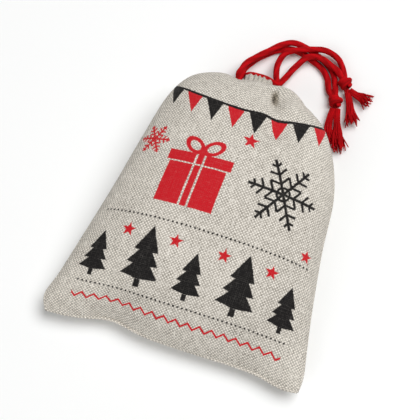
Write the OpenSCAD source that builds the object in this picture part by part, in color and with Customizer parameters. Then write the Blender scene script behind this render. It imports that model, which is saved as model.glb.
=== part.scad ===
// Stuffed drawstring gift sack lying on its back, mouth drawn shut by two red cords.
// X runs across the sack, Y from the bottom seam to the mouth, Z up from the floor.

/* [Sack] */
// Width of the empty sack laid flat, seam to seam
flat_w = 152; // [142:1:162]
// Length of the stuffed sack, bottom seam to hem
stuffed_len = 178; // [172:1:190]
// Height of the stuffed sack above the floor
stuffed_h = 46; // [42:1:50]
// Thickness of the cloth wall with its seam allowance
cloth_t = 1.2; // [0.8:0.1:1.6]
// Width of the seam allowance folded inside
seam_in = 7; // [5:0.5:9]

/* [Mouth] */
// Distance between the two ends of the gathered casing
mouth_w = 17; // [16:0.5:18]
// How far the mouth lies to the right of the middle line; below zero, to its left
mouth_x = -1; // [-2:0.5:0]
// Depth of the gathered casing along the sack
casing_len = 13; // [12.5:0.5:14]
// Thickness of the gathered casing around its cords
casing_t = 6; // [6:0.5:7]
// Rise of each casing from its ends to its middle
casing_rise = 3; // [3:0.5:4]
// Clear gap between the two casings at their ends
end_gap = 0.8; // [0.6:0.1:1.2]
// How far the hem stands out past the bulging end of the sack
hem_out = 12; // [11:0.5:13]

/* [Cord] */
// Diameter of the soft cord
cord_d = 4; // [3:0.5:4]
// Diameter of each knot
knot_d = 9; // [8:0.5:10]
// Diameter of a tail's frayed end
fray_d = 8; // [6:0.5:8]

/* [Hidden] */
$fn = 48;

linen = [0.78, 0.75, 0.69];
linen_shade = [0.70, 0.67, 0.61];
thread = [0.86, 0.83, 0.76];
red = [0.74, 0.02, 0.05];
dark_red = [0.62, 0.01, 0.04];

// The mouth: the two cord rows, the heights of the casings and the neck behind them. The front casing
// lifts about the middle of its near cord row.
half_len = stuffed_len / 2;
casing_r = casing_t / 2;
cord_row = casing_len - 2 * casing_r;
rear_y = half_len - casing_len;
near_row_y = rear_y + casing_r;
far_row_y = near_row_y + cord_row;
floor_gap = 0.3;
mouth_z = floor_gap + casing_rise + casing_t + end_gap / 2;
front_z = mouth_z + end_gap / 2 + casing_r;
back_z = mouth_z - end_gap / 2 - casing_r;
half_mouth = mouth_w / 2;
casing_arc = (half_mouth * half_mouth + casing_rise * casing_rise) / (2 * casing_rise);
neck_gap = 0.6;
neck_y = rear_y - neck_gap;
body_len = stuffed_len - hem_out;
bore_slack = 0.1;
bore_over = 2;
notch_x = -4.4;
notch_over = 9;
bight_off = 1.8;
notch_off = 0.4;
thread_d = 0.8;

// Rings from the bottom seam to the bulging end, and back in to the neck. Each gives its share of the
// body length and of half the flat width, the heights of seam, crown and keel as shares of the stuffed
// height, how square its arch is, and how far its middle leans to the right as a share of half the width.
neck_share = (neck_y + half_len) / body_len;
neck_ease = 7;
neck_half_w = half_mouth + neck_ease;
neck_over = 0.4;
neck_w = neck_half_w / (flat_w / 2);
neck_seam = mouth_z / stuffed_h;
neck_crown = (front_z + casing_rise + casing_r + neck_over) / stuffed_h;
neck_keel = (back_z - casing_rise) / stuffed_h;
neck_lean = mouth_x / (flat_w / 2);
RINGS = [
    [0.000, 0.985, 0.20, 0.235, 0.165, 2.0, 0.000],
    [0.050, 1.000, 0.22, 0.410, 0.03, 1.9, 0.000],
    [0.130, 0.965, 0.27, 0.600, -0.06, 1.9, 0.000],
    [0.260, 0.905, 0.34, 0.800, -0.08, 2.0, 0.013],
    [0.470, 0.828, 0.40, 0.970, -0.08, 2.1, 0.033],
    [0.680, 0.768, 0.42, 1.000, -0.08, 2.2, 0.053],
    [0.850, 0.666, 0.42, 0.925, -0.07, 2.3, 0.021],
    [0.945, 0.526, 0.40, 0.800, -0.04, 2.3, -0.013],
    [0.990, 0.384, 0.35, 0.680, -0.01, 2.2, -0.005],
    [1.000, 0.297, 0.30, 0.570, 0.03, 2.1, 0.005],
    [neck_share, neck_w, neck_seam, neck_crown, neck_keel, 2.0, neck_lean]
];
last_ring = len(RINGS) - 1;
end_ring = last_ring - 3;
ring_steps = 3;
across_steps = 18;
seam_gap = 0.4;
seam_half_t = seam_gap + 0.2;
back_tuck = 1.2;
ring_nudge = 0.1;
angle_nudge = 1;

function ring_at(i) = RINGS[max(0, min(last_ring, i))];
function smooth(p0, p1, p2, p3, f) =
    0.5 * (2 * p1 + (p2 - p0) * f + (2 * p0 - 5 * p1 + 4 * p2 - p3) * f * f
    + (3 * p1 - p0 - 3 * p2 + p3) * f * f * f);
function ring(t) =
    let (i = min(last_ring - 1, floor(t)))
    smooth(ring_at(i - 1), ring_at(i), ring_at(i + 1), ring_at(i + 2), t - i);
function ring_y(r) = r[0] * body_len - half_len;
function ring_w(r) = r[1] * flat_w / 2;
function ring_z(r, k) = r[k] * stuffed_h;
function ring_lean(r) = r[6] * flat_w / 2;
function ring_x(r, a) = ring_lean(r) + ring_w(r) * sign(cos(a)) * pow(abs(cos(a)), 2 / r[5]);
function ring_arch(r, a) = pow(abs(sin(a)), 2 / r[5]);

// A point of the outer face of each panel, at ring t and angle a from the right seam
function front_point(t, a) =
    let (r = ring(t), base = ring_z(r, 2) + seam_gap)
    [
        ring_x(r, a),
        ring_y(r),
        base + (ring_z(r, 3) - base) * ring_arch(r, a)
    ];
function back_point(t, a) =
    let (
        r = ring(t),
        base = ring_z(r, 2) - seam_gap,
        y = ring_y(r),
        end_y = ring_y(ring_at(end_ring)),
        end_share = max(0, t - end_ring) / (last_ring - end_ring),
        low_y = t > end_ring ? end_y + (neck_y + back_tuck - end_y) * end_share : y
    )
    [
        ring_x(r, a),
        y + (low_y - y) * abs(sin(a)),
        max(0, base - (base - ring_z(r, 4)) * ring_arch(r, a))
    ];
function panel_point(front, t, a) = front ? front_point(t, a) : back_point(t, a);

// The inner face lies one wall thickness in, square to the outer one, on its own side of the seam
function outward(front, t, a) =
    let (
        ahead = panel_point(front, min(last_ring, t + ring_nudge), a),
        behind = panel_point(front, max(0, t - ring_nudge), a),
        around = panel_point(front, t, min(180, a + angle_nudge))
            - panel_point(front, t, max(0, a - angle_nudge)),
        n = cross(ahead - behind, around)
    )
    n / norm(n) * (front ? 1 : -1);
function inner_point(front, t, a) =
    let (
        p = panel_point(front, t, a) - cloth_t * outward(front, t, a),
        seam = ring_z(ring(t), 2)
    )
    [
        p[0],
        max(-half_len, p[1]),
        front ? max(seam + seam_gap, p[2]) : min(seam - seam_gap, p[2])
    ];

// Closed wall between an outer and an inner grid of points, rows by columns
function grid_faces(rows, cols, start, flip) = [
    for (j = [0 : rows - 2])
    for (i = [0 : cols - 2])
    for (k = [0, 1])
    let (a = start + j * cols + i, b = a + 1, c = a + cols, d = c + 1)
    flip ? (k == 0 ? [a, c, b] : [b, c, d]) : (k == 0 ? [a, b, c] : [b, d, c])
];
function rim_faces(outer, inner) = [
    for (i = [0 : len(outer) - 2])
    for (k = [0, 1])
    k == 0 ? [outer[i], inner[i], outer[i + 1]] : [outer[i + 1], inner[i], inner[i + 1]]
];
function backwards(list) = [for (i = [len(list) - 1 : -1 : 0]) list[i]];

module wall(outer, inner, rows, cols) {
    count = rows * cols;
    first_row = [for (i = [0 : cols - 1]) i];
    last_row = [for (i = [0 : cols - 1]) count - cols + i];
    first_col = [for (j = [0 : rows - 1]) j * cols];
    last_col = [for (j = [0 : rows - 1]) j * cols + cols - 1];
    polyhedron(
        points = concat(outer, inner),
        faces = concat(
            grid_faces(rows, cols, 0, false),
            grid_faces(rows, cols, count, true),
            rim_faces(first_row, [for (i = first_row) i + count]),
            rim_faces(backwards(last_row), [for (i = backwards(last_row)) i + count]),
            rim_faces(backwards(first_col), [for (i = backwards(first_col)) i + count]),
            rim_faces(last_col, [for (i = last_col) i + count])
        )
    );
}

panel_rows = last_ring * ring_steps + 1;
panel_cols = across_steps + 1;

module panel(front) {
    steps = front ? [0 : across_steps] : [across_steps : -1 : 0];
    angles = [for (i = steps) 180 * i / across_steps];
    rings = [for (j = [0 : panel_rows - 1]) j / ring_steps];
    wall(
        [for (t = rings) for (a = angles) panel_point(front, t, a)],
        [for (t = rings) for (a = angles) inner_point(front, t, a)],
        panel_rows, panel_cols
    );
}

module front_panel() {
    color(linen) panel(true);
}

module back_panel() {
    color(linen_shade) panel(false);
}

// Seam allowance: a strip sewn between the two panels along one side, up to where the neck draws in
seam_rows = (end_ring + 1) * ring_steps + 1;

module side_seam(side) {
    reach_out = 0.2;
    ends = [[reach_out, -1], [-seam_in, -1], [-seam_in, 1], [reach_out, 1]];
    points = [
        for (j = [0 : seam_rows - 1])
        let (r = ring(j / ring_steps))
        for (e = ends)
        [ring_lean(r) + side * (ring_w(r) + e[0]), ring_y(r), ring_z(r, 2) + e[1] * seam_half_t]
    ];
    faces = concat(
        [[0, 1, 2, 3]],
        [
            for (j = [0 : seam_rows - 2])
            for (i = [0 : 3])
            [j * 4 + i, j * 4 + 4 + i, j * 4 + 4 + (i + 1) % 4, j * 4 + (i + 1) % 4]
        ],
        [[for (i = [3 : -1 : 0]) seam_rows * 4 - 4 + i]]
    );
    polyhedron(points = points, faces = side > 0 ? faces : [for (f = faces) backwards(f)]);
}

module left_side_seam() {
    color(linen_shade) side_seam(-1);
}

module right_side_seam() {
    color(linen_shade) side_seam(1);
}

module bottom_seam() {
    r = ring(0);
    half_w = ring_w(r) - cloth_t;
    half_t = 1.1;
    color(linen_shade)
    translate([-half_w, -half_len, ring_z(r, 2) - half_t])
    cube([2 * half_w, seam_in, 2 * half_t]);
}

// A section swept along a casing's arc. side is 1 for the front casing, -1 for the back one.
module along_casing(side, from_x, to_x) {
    start = asin(from_x / casing_arc);
    end = asin(to_x / casing_arc);
    centre_z = side > 0 ? front_z + casing_rise - casing_arc : back_z - casing_rise + casing_arc;
    translate([mouth_x, near_row_y, centre_z])
    rotate([-90, 0, 0])
    rotate([0, 0, side > 0 ? 270 + start : 90 - end])
    rotate_extrude(angle = end - start, $fn = 96)
    translate([casing_arc, 0])
    children();
}

module casing(side) {
    difference() {
        along_casing(side, -half_mouth, half_mouth)
        union() {
            circle(casing_r);
            translate([-casing_r, 0]) square([casing_t, cord_row]);
            translate([0, cord_row]) circle(casing_r);
        }
        for (row = [0, cord_row])
        along_casing(side, -half_mouth - bore_over, half_mouth + bore_over)
        translate([0, row])
        circle(cord_d / 2 + bore_slack);
        translate([mouth_x - half_mouth - notch_over, near_row_y + cord_row / 2, 0])
        cube([half_mouth + notch_over + notch_x, casing_len, 2 * front_z]);
    }
}

module front_casing() {
    color(linen) casing(1);
}

module back_casing() {
    color(linen_shade) casing(-1);
}

// Line of stitches on the outside of a casing, half sunk in the cloth
module casing_stitch(side) {
    inset = 0.5;
    along_casing(side, -half_mouth + inset, half_mouth - inset)
    translate([casing_r, inset])
    circle(thread_d / 2, $fn = 24);
}

module front_casing_stitch() {
    color(thread) casing_stitch(1);
}

module back_casing_stitch() {
    color(thread)
    intersection() {
        casing_stitch(-1);
        translate([mouth_x - half_mouth, 0, 0]) cube([mouth_w, half_len, front_z]);
    }
}

// The two cords inside the casings. The left cord lies in the row nearer the neck.
module run(side, row_y, from_x) {
    translate([0, row_y - near_row_y, 0])
    along_casing(side, from_x, half_mouth)
    circle(cord_d / 2);
}

module left_cord_front_run() {
    color(dark_red) run(1, near_row_y, -half_mouth);
}

module left_cord_back_run() {
    color(dark_red) run(-1, near_row_y, -half_mouth);
}

module right_cord_front_run() {
    color(dark_red) run(1, far_row_y, notch_x);
}

module right_cord_back_run() {
    color(dark_red) run(-1, far_row_y, notch_x);
}

// Half turn of a cord where it passes from the front casing to the back one
module bight(x, y, side) {
    translate([mouth_x + x, y, mouth_z])
    rotate([90, 0, 0])
    rotate([0, 0, side > 0 ? -90 : 90])
    rotate_extrude(angle = 180)
    translate([(front_z - back_z) / 2, 0])
    circle(cord_d / 2);
}

module left_cord_bight() {
    color(red) bight(half_mouth + bight_off, near_row_y, 1);
}

module right_cord_bight() {
    color(red) bight(notch_x - notch_off, far_row_y, -1);
}

// Routes of the free strands on the floor, from the mouth to the knots. Where they cross, one lies at
// strand_z and the other over it at upper_z.
lift = 0.1;
strand_z = cord_d / 2 + lift;
upper_z = strand_z + cord_d + 2 * lift;
knot_z = knot_d / 2 + 2 * lift;
LEFT_FRONT = [
    [-11.4, 79.4, 12.2], [-12.6, 81.6, 12.1], [-13, 85.2, 11.9], [-13.2, 89.2, 11.4], [-12.8, 93.2, 10.6],
    [-11.2, 97.2, 9.4], [-8.4, 101.4, 8.2], [-4, 106.8, 7.2], [0.8, 112.2, 6.6], [4.6, 116.2, upper_z],
    [8.4, 118.8, 6], [12.2, 120.3, 5], [16.2, 120.8, 3.8], [20.6, 120.2, 2.5], [25.6, 118.6, strand_z],
    [32.2, 115.4, strand_z], [37.4, 111.8, strand_z], [41, 107.4, strand_z], [43, 102.4, 2.4],
    [44.6, 97, 3.4]
];
LEFT_BACK = [
    [-11.4, 79.4, 6.9], [-12.8, 81.6, 6.4], [-13.4, 85.2, 5], [-13.8, 89.2, 3.6], [-13.4, 93.2, 2.5],
    [-11.8, 98, strand_z], [-8.2, 103.4, strand_z], [-3.2, 109, strand_z], [2.6, 113.6, strand_z],
    [8.2, 116.4, strand_z], [13.4, 117, strand_z], [18.4, 116.2, strand_z], [24, 114, strand_z],
    [30, 111.4, strand_z], [34.6, 108.2, strand_z], [37.6, 104.2, strand_z], [39.4, 99.8, 2.4],
    [41.2, 95.6, 3.4]
];
RIGHT_FRONT = [
    [9.6, 86.4, 12.2], [9.4, 88.6, 11.2], [8, 91.8, 9.8], [6.8, 96.4, 8.4], [6.2, 101.8, 7.2],
    [6.6, 106.8, 6.6], [8.4, 111, 6.4], [11.4, 113.8, upper_z], [15.6, 115.8, upper_z],
    [20, 117.6, upper_z], [25.2, 119.4, upper_z], [30.6, 120.6, 6], [35.8, 120.4, 5], [40.4, 118.4, 4],
    [43.8, 114.8, 3.8], [46, 110.6, 4]
];
RIGHT_BACK = [
    [9.6, 86.6, 6.9], [10.8, 89.4, 6.6], [12.4, 93.4, 5.8], [14.2, 98.4, 5], [16.6, 104.2, 5],
    [19.4, 109.4, 5.6], [22.6, 113, upper_z], [26.6, 114.6, upper_z], [31.4, 114.2, upper_z],
    [36.2, 112.4, upper_z], [39.8, 110.6, upper_z], [42.6, 109.2, 6.2]
];
left_knot_at = [46.8, 90, knot_z];
right_knot_at = [49.2, 103.8, knot_z];
knot_turn = -66;
LEFT_SIDE_TAIL = [[46.8, 84.6, 4.6], [46.6, 77.4, 3.6], [47.8, 68.8, 3.8], [50.6, 59.8, 4.4]];
LEFT_END_TAIL = [[49, 85.4, 4.4], [51.2, 77.4, 3.6], [54, 68.4, 3.8], [57.6, 58.6, 4.4]];
RIGHT_INNER_TAIL = [[51.4, 99.6, 4.4], [55, 92.2, 3.4], [57.6, 85, 3.8], [60.6, 77.4, 4.4]];
RIGHT_OUTER_TAIL = [[52.8, 99.4, 4.8], [58.4, 98.2, 3.6], [63.2, 97.2, 3.8], [67.6, 95.8, 4.4]];

function unit(v) = v / norm(v);

// Tube along a route, its radius going from the first value to the second
module tube(route, start_r, end_r, sides = 10) {
    last = len(route) - 1;
    points = [
        for (i = [0 : last])
        let (
            ahead = unit(route[min(last, i + 1)] - route[max(0, i - 1)]),
            across = unit(cross(ahead, [0, 0, 1])),
            up = cross(across, ahead),
            r = start_r + (end_r - start_r) * i / last
        )
        for (k = [0 : sides - 1])
        route[i] + r * (across * cos(360 * k / sides) + up * sin(360 * k / sides))
    ];
    polyhedron(
        points = points,
        faces = concat(
            [[for (k = [sides - 1 : -1 : 0]) k]],
            [
                for (i = [0 : last - 1])
                for (k = [0 : sides - 1])
                let (a = i * sides + k, b = i * sides + (k + 1) % sides)
                [a, b, b + sides, a + sides]
            ],
            [[for (k = [0 : sides - 1]) last * sides + k]]
        )
    );
}

module strand(route) {
    color(red) tube(route, cord_d / 2, cord_d / 2);
}

module left_front_strand() {
    strand(LEFT_FRONT);
}

module left_back_strand() {
    strand(LEFT_BACK);
}

module right_front_strand() {
    strand(RIGHT_FRONT);
}

module right_back_strand() {
    strand(RIGHT_BACK);
}

// Overhand knot: three turns of cord pulled tight round the strands, its axis along them
module knot(at) {
    turn_r = 1.9;
    pitch = 3.2;
    color(red)
    translate(at)
    rotate([0, 0, knot_turn])
    rotate([0, 90, 0])
    union() {
        for (k = [-1, 0, 1])
        translate([0, 0, k * pitch])
        rotate_extrude()
        translate([knot_d / 2 - turn_r, 0])
        circle(turn_r);
        cylinder(h = 2 * pitch + turn_r, r = knot_d / 2 - turn_r, center = true);
    }
}

module left_knot() {
    knot(left_knot_at);
}

module right_knot() {
    knot(right_knot_at);
}

module tail(route) {
    color(dark_red) tube(route, cord_d / 2, fray_d / 2);
}

module left_side_tail() {
    tail(LEFT_SIDE_TAIL);
}

module left_end_tail() {
    tail(LEFT_END_TAIL);
}

module right_inner_tail() {
    tail(RIGHT_INNER_TAIL);
}

module right_outer_tail() {
    tail(RIGHT_OUTER_TAIL);
}

front_panel();
back_panel();
left_side_seam();
right_side_seam();
bottom_seam();
front_casing();
back_casing();
front_casing_stitch();
back_casing_stitch();
left_cord_front_run();
left_cord_back_run();
left_cord_bight();
right_cord_front_run();
right_cord_back_run();
right_cord_bight();
left_front_strand();
left_back_strand();
right_front_strand();
right_back_strand();
left_knot();
right_knot();
left_side_tail();
left_end_tail();
right_inner_tail();
right_outer_tail();
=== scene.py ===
import math
import random

import bmesh
import bpy
import numpy as np
from mathutils import Matrix, Vector


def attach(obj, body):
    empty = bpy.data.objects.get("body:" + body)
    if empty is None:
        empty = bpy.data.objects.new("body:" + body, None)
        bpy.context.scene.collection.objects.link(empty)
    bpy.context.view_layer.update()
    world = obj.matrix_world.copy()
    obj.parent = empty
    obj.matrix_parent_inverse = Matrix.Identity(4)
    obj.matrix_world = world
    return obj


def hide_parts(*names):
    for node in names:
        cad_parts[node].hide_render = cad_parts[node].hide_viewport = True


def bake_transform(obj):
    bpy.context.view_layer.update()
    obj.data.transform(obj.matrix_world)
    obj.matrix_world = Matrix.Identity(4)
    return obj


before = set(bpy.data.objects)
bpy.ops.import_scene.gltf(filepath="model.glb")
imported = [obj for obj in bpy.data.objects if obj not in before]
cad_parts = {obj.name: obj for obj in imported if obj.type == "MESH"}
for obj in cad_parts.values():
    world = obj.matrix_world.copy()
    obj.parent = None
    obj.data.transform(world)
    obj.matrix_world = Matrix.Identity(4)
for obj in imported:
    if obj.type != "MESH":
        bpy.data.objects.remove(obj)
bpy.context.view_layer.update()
scene = bpy.context.scene
MM = 0.001


# Camera: above the sack, a little to its right, as in the photograph
CAMERA_AZIMUTH = 18.0
CAMERA_ELEVATION = 69.5
CAMERA_DISTANCE = 0.70
CAMERA_LENS = 103.0
CAMERA_SENSOR = 36.0
CAMERA_AIM = Vector((-3.4, -3.8, 12.4)) * MM


def make_camera():
    data = bpy.data.cameras.new("photo_camera")
    data.lens = CAMERA_LENS
    data.sensor_width = CAMERA_SENSOR
    camera = bpy.data.objects.new("photo_camera", data)
    scene.collection.objects.link(camera)
    turn = math.radians(CAMERA_AZIMUTH)
    rise = math.radians(CAMERA_ELEVATION)
    back = Vector((math.sin(turn) * math.cos(rise), -math.cos(turn) * math.cos(rise), math.sin(rise)))
    camera.location = CAMERA_AIM + back * CAMERA_DISTANCE
    camera.rotation_euler = (-back).to_track_quat("-Z", "Y").to_euler()
    scene.camera = camera


make_camera()


# Shader maths
class Signal:
    """A shader socket. Sums, products and the like add Math nodes to its finish."""

    def __init__(self, finish, socket):
        self.finish = finish
        self.socket = socket

    def do(self, operation, *others):
        return self.finish.add("ShaderNodeMath", {"operation": operation}, [self, *others])

    def __add__(self, other):
        return self.do("ADD", other)

    __radd__ = __add__

    def __mul__(self, other):
        return self.do("MULTIPLY", other)

    __rmul__ = __mul__

    def __sub__(self, other):
        return self.do("SUBTRACT", other)

    def __rsub__(self, other):
        return self.finish.add("ShaderNodeMath", {"operation": "SUBTRACT"}, [other, self])

    def __truediv__(self, other):
        return self.do("DIVIDE", other)

    def __neg__(self):
        return self * -1.0

    def __abs__(self):
        return self.do("ABSOLUTE")

    def __pow__(self, other):
        return self.do("POWER", other)

    def __mod__(self, other):
        return self.do("FLOORED_MODULO", other)

    def over(self, other):
        return self.do("GREATER_THAN", other)

    def least(self, *others):
        found = self
        for other in others:
            found = found.do("MINIMUM", other)
        return found

    def most(self, *others):
        found = self
        for other in others:
            found = found.do("MAXIMUM", other)
        return found

    def clamped(self):
        return self.finish.add("ShaderNodeMath", {"operation": "ADD", "use_clamp": True}, [self, 0.0])


PATTERN_MAP = "flat"


class Finish:
    """A material or world, made node by node."""

    def __init__(self, name, kind=bpy.data.materials):
        self.material = kind.new(name)
        self.material.use_nodes = True
        self.tree = self.material.node_tree
        self.tree.nodes.clear()

    def add(self, kind, settings=None, inputs=(), output=0):
        """Adds one node: its type, its settings, then the values or links of its sockets."""
        node = self.tree.nodes.new(kind)
        for key, value in (settings or {}).items():
            setattr(node, key, value)
        pairs = inputs.items() if isinstance(inputs, dict) else enumerate(inputs)
        for key, value in pairs:
            if isinstance(value, Signal):
                self.tree.links.new(value.socket, node.inputs[key])
            else:
                node.inputs[key].default_value = value
        return Signal(self, node.outputs[output])

    def place(self, x, y, z=0.0):
        return self.add("ShaderNodeCombineXYZ", None, [x, y, z])

    def pattern(self):
        """The two coordinates of the piece's own pattern map."""
        flat = self.add("ShaderNodeUVMap", {"uv_map": PATTERN_MAP})
        split = self.add("ShaderNodeSeparateXYZ", None, [flat]).socket.node
        return Signal(self, split.outputs["X"]), Signal(self, split.outputs["Y"])

    def mix(self, share, first, second):
        """A mix of two colours, whose sockets are the Mix node's colour ones."""
        return self.add("ShaderNodeMix", {"data_type": "RGBA"}, {0: share, 6: first, 7: second}, 2)

    def noise(self, vector, scale=1.0, detail=2.0, rough=0.5):
        return self.add(
            "ShaderNodeTexNoise", None,
            {"Vector": vector, "Scale": scale, "Detail": detail, "Roughness": rough})

    def bump(self, height, distance, strength):
        return self.add(
            "ShaderNodeBump", None, {"Height": height, "Distance": distance, "Strength": strength})

    def surface(self, **sockets):
        """Ends the material in a Principled shader with these sockets."""
        named = {key.replace("_", " "): value for key, value in sockets.items()}
        self.end(self.add("ShaderNodeBsdfPrincipled", None, named))
        return self.material

    def end(self, shader, kind="ShaderNodeOutputMaterial"):
        self.tree.links.new(shader.socket, self.tree.nodes.new(kind).inputs["Surface"])


# Colours
LINEN_LIGHT = (0.93, 0.875, 0.785, 1)
# The darkest linen: dark slubs and clouds, and also the painted shade in the gaps between threads
LINEN_DARK = (0.20, 0.178, 0.148, 1)
LINEN_PALE = (0.92, 0.88, 0.82, 1)
INK_BLACK = (0.008, 0.007, 0.007, 1)
INK_RED = (0.58, 0.008, 0.016, 1)
CORD_RED = (0.57, 0.002, 0.006, 1)
# The deepest cord red: dark fibre flecks, and also the painted shade in the grooves between plies
CORD_DEEP = (0.24, 0.001, 0.002, 1)
CORD_PALE = (0.64, 0.012, 0.016, 1)
THREAD_CREAM = (0.70, 0.65, 0.55, 1)
WHITE = (1, 1, 1, 1)

# Weave of the cloth, in millimetres on the flat cloth

# Plain weave of about ten threads to the centimetre. Slubs are drawn out along the threads, the threads
# drift a little, and wide clouds of tone lie over both. Each noise is taken from a slice of its own.
# Where the threads dip into the gaps between them, the colour is darkened: painted shade
THREAD_PITCH = 1.0
THREAD_CREST = 0.6
THREAD_DIP = 0.3
CROSSING_EDGE = 3.0
SLUB_ALONG = 0.16
SLUB_ACROSS = 1.05
SLUB_ROUGH = 0.62
SLUB_TONE = 1.5
DRIFT_SCALE = 0.12
DRIFT_REACH = 1.6
CLOUD_SCALE = 0.03
CLOUD_TONE = 0.3
WARP_SHARE = 0.42
# Brightness left where a thread dips into the gaps: painted shade in the gaps between threads
GAP_PAINTED_SHADE = 0.35
PALE_FROM = 0.58
PALE_GAIN = 5.0
WEAVE_RELIEF = 0.22 * MM
WEAVE_BUMP = 0.55
SLUB_RELIEF = 0.5
WEFT_SLICE = 0.0
WARP_SLICE = 7.0
DRIFT_SLICE = 3.0
CLOUD_SLICE = 1.0


def weave(finish, x, y):
    """Height of the woven threads, where the pale weft is on top, and each thread's own tone."""
    weft_place = finish.place(x * SLUB_ALONG, y * SLUB_ACROSS, WEFT_SLICE)
    warp_place = finish.place(x * SLUB_ACROSS, y * SLUB_ALONG, WARP_SLICE)
    drift_place = finish.place(x * DRIFT_SCALE, y * DRIFT_SCALE, DRIFT_SLICE)
    weft_slub = finish.noise(weft_place, detail=3.0, rough=SLUB_ROUGH)
    warp_slub = finish.noise(warp_place, detail=3.0, rough=SLUB_ROUGH)
    drift = finish.noise(drift_place, detail=4.0, rough=0.6) - 0.5
    turn = math.pi / THREAD_PITCH
    warp = ((x + drift * DRIFT_REACH) * turn).do("SINE")
    weft = ((y - drift * DRIFT_REACH) * turn).do("SINE")
    weft_over = (0.5 - warp * weft * CROSSING_EDGE).clamped()
    warp_top = abs(warp) ** THREAD_CREST * (abs(weft) * THREAD_DIP + (1 - THREAD_DIP))
    weft_top = abs(weft) ** THREAD_CREST * (abs(warp) * THREAD_DIP + (1 - THREAD_DIP))
    height = weft_over * (weft_top - warp_top) + warp_top
    tone = weft_over * (weft_slub - warp_slub) + warp_slub
    return height, weft_over, tone


def linen_colour(finish, x, y):
    height, weft_over, tone = weave(finish, x, y)
    cloud = finish.noise(finish.place(x * CLOUD_SCALE, y * CLOUD_SCALE, CLOUD_SLICE), detail=3.0)
    # The warp is darker than the weft, which is its own colour; lower down on each thread the colour is
    # darkened as painted shade in the gaps
    weave_tone_and_gap_shade = (WARP_SHARE + weft_over * (1 - WARP_SHARE)) * (GAP_PAINTED_SHADE + height * (1 - GAP_PAINTED_SHADE))
    share = (weave_tone_and_gap_shade + (tone - 0.5) * SLUB_TONE + (cloud - 0.5) * CLOUD_TONE).clamped()
    dark_to_light = finish.mix(share, LINEN_DARK, LINEN_LIGHT)
    pale = ((tone - PALE_FROM) * PALE_GAIN).clamped()
    return finish.mix(pale, dark_to_light, LINEN_PALE), height, tone


# Print: each motif gives a distance in millimetres on the flat cloth, below zero inside the motif
def ball(x, y, radius):
    return (x * x + y * y).do("SQRT") - radius


def slab(x, y, half_w, half_h):
    return (abs(x) - half_w).most(abs(y) - half_h)


def folded(x, y, count):
    """A place turned into one half of one of count equal arms round the origin."""
    far = (x * x + y * y).do("SQRT")
    arm = math.tau / count
    angle = abs((y.do("ARCTAN2", x) + arm / 2) % arm - arm / 2)
    return far * angle.do("COSINE"), far * angle.do("SINE")


def star(x, y, tip, notch):
    along, aside = folded(y, x, 5)
    step = math.tau / 10
    dx = notch * math.cos(step) - tip
    dy = notch * math.sin(step)
    size = math.hypot(dx, dy)
    return (along - tip) * (dy / size) - aside * (dx / size)


# Sprigs of a snowflake's arm: where each starts and how long it is, as shares of the arm
SPRIGS = ((0.30, 0.30), (0.56, 0.27), (0.80, 0.16))
SPRIG_COS = 0.5
SPRIG_SIN = 0.866
SPRIG_LINE = 0.85
FLAKE_RING = 0.17
FLAKE_RING_ALONG = 0.9
FLAKE_RING_ASIDE = 0.3
FLAKE_RING_LINE = 0.8


def snowflake(x, y, arm, line):
    """A flake of six arms with sprigs, and a small ring round its middle."""
    along, aside = folded(x, y, 6)
    found = (aside - line).most(along - arm)
    for start, length in SPRIGS:
        run = (along - arm * start) * SPRIG_COS + aside * SPRIG_SIN
        off = (along - arm * start) * SPRIG_SIN - aside * SPRIG_COS
        found = found.least((abs(off) - line * SPRIG_LINE).most(run - arm * length, -run))
    far = along * FLAKE_RING_ALONG + aside * FLAKE_RING_ASIDE
    return found.least(abs(far - arm * FLAKE_RING) - line * FLAKE_RING_LINE)


# Tiers of a fir tree: foot, top and half width, as shares of its height, like its trunk's middle and halves
FIR_TIERS = ((0.10, 0.52, 0.36), (0.32, 0.74, 0.29), (0.55, 1.00, 0.22))
FIR_SAG = 0.16
TRUNK_MIDDLE = 0.04
TRUNK_HALF_W = 0.05
TRUNK_HALF_H = 0.07


def fir(x, y, tall):
    """A fir tree of three tiers on a short trunk, its foot at the origin."""
    side = abs(x)
    found = slab(x, y - tall * TRUNK_MIDDLE, tall * TRUNK_HALF_W, tall * TRUNK_HALF_H)
    for foot, top, spread in FIR_TIERS:
        slope = spread / (top - foot)
        found = found.least((side - (tall * top - y) * slope).most(tall * foot - y + side * FIR_SAG))
    return found


LID_RAISE = 4.0
LID_OVERHANG = 2.0
LID_HALF_H = 3.2
RIBBON_HALF = 2.4
RIBBON_LINE = 0.6
BOW_RAISE = 8.4
BOW_COS = 0.84
BOW_SIN = 0.54
BOW_REACH = 6.6
BOW_SLIM = 0.62
BOW_R = 3.4
BOW_LINE = 1.0
BOW_KNOT_R = 2.3


def parcel(x, y, half_w, tall):
    """A gift box with a lid, a ribbon and a bow, its foot at the origin."""
    box = slab(x, y - tall / 2, half_w, tall / 2)
    lid = slab(x, y - tall - LID_RAISE, half_w + LID_OVERHANG, LID_HALF_H)
    body = box.least(lid).most(RIBBON_LINE - abs(abs(x) - RIBBON_HALF))
    side = abs(x)
    above = y - tall - BOW_RAISE
    out = side * BOW_COS + above * BOW_SIN
    up = above * BOW_COS - side * BOW_SIN
    loop = ball((out - BOW_REACH) * BOW_SLIM, up, BOW_R)
    return body.least((abs(loop) - BOW_LINE).least(ball(x, above, BOW_KNOT_R)))


PENNANT_SPREAD = 0.40
STRING_RAISE = 0.4
STRING_HALF = 0.8


def bunting(x, y, pitch, drop, sag):
    """Pennants on a string that hangs in a shallow curve, the string, and 1 on every other pennant."""
    string = y - x * x * sag
    cell = x % pitch - pitch / 2
    pennant = (abs(cell) - (string + drop) * (pitch * PENNANT_SPREAD / drop)).most(string)
    other = ((x / (pitch * 2)) % 1.0).over(0.5)
    return pennant, abs(string - STRING_RAISE) - STRING_HALF, other


def dots(x, y, pitch, radius):
    return ball(x % pitch - pitch / 2, y, radius)


def chevrons(x, y, pitch, rise, line):
    wave = abs(x % pitch - pitch / 2) * (2 * rise / pitch)
    return abs(y - wave) - line


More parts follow.
